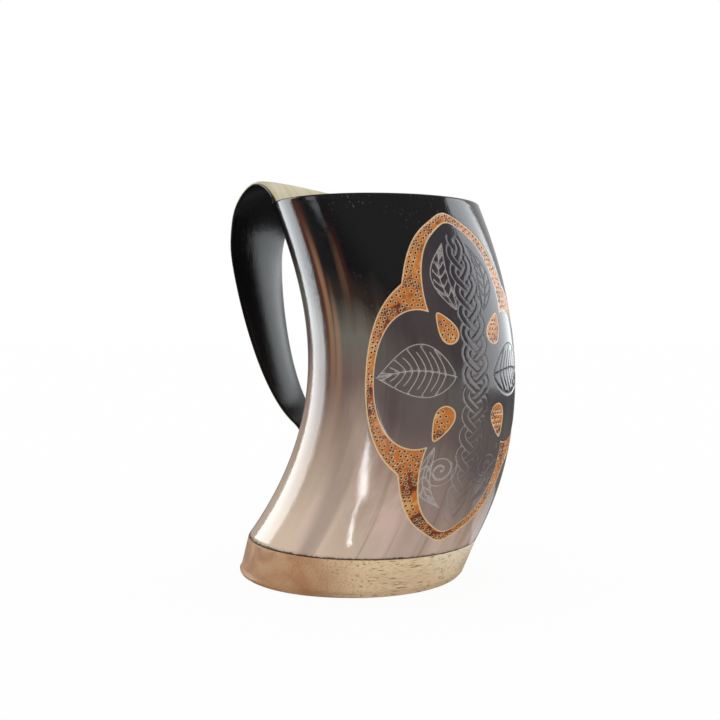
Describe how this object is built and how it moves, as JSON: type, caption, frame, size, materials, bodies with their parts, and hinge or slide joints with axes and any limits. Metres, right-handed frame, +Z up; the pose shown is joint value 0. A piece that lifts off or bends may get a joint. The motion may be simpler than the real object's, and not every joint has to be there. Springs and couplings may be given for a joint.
{
  "type": "horn drinking cup",
  "caption": "Drinking cup of bent horn with a broad strap handle that bends over from the rim, a wooden foot and a carved panel on its front.",
  "frame": {"origin": "centre of the wooden foot's underside", "axes": "+Z up along the cup's height, handle towards -X, Y across the cup"},
  "size_m": [0.123, 0.0922, 0.1629],
  "materials": {
    "horn": "polished",
    "horn_strap": "polished",
    "wood": "waxed satin",
    "glue": "matte",
    "resin": "gloss",
    "brass": "worn polish"
  },
  "bodies": {
    "root": {"cup_wall": "horn", "handle_strap": "horn_strap", "wood_base": "wood", "base_glue_line": "glue", "floor_seal": "resin", "handle_rivet": "brass", "rivet_burr": "brass"}
  },
  "joints": []
}
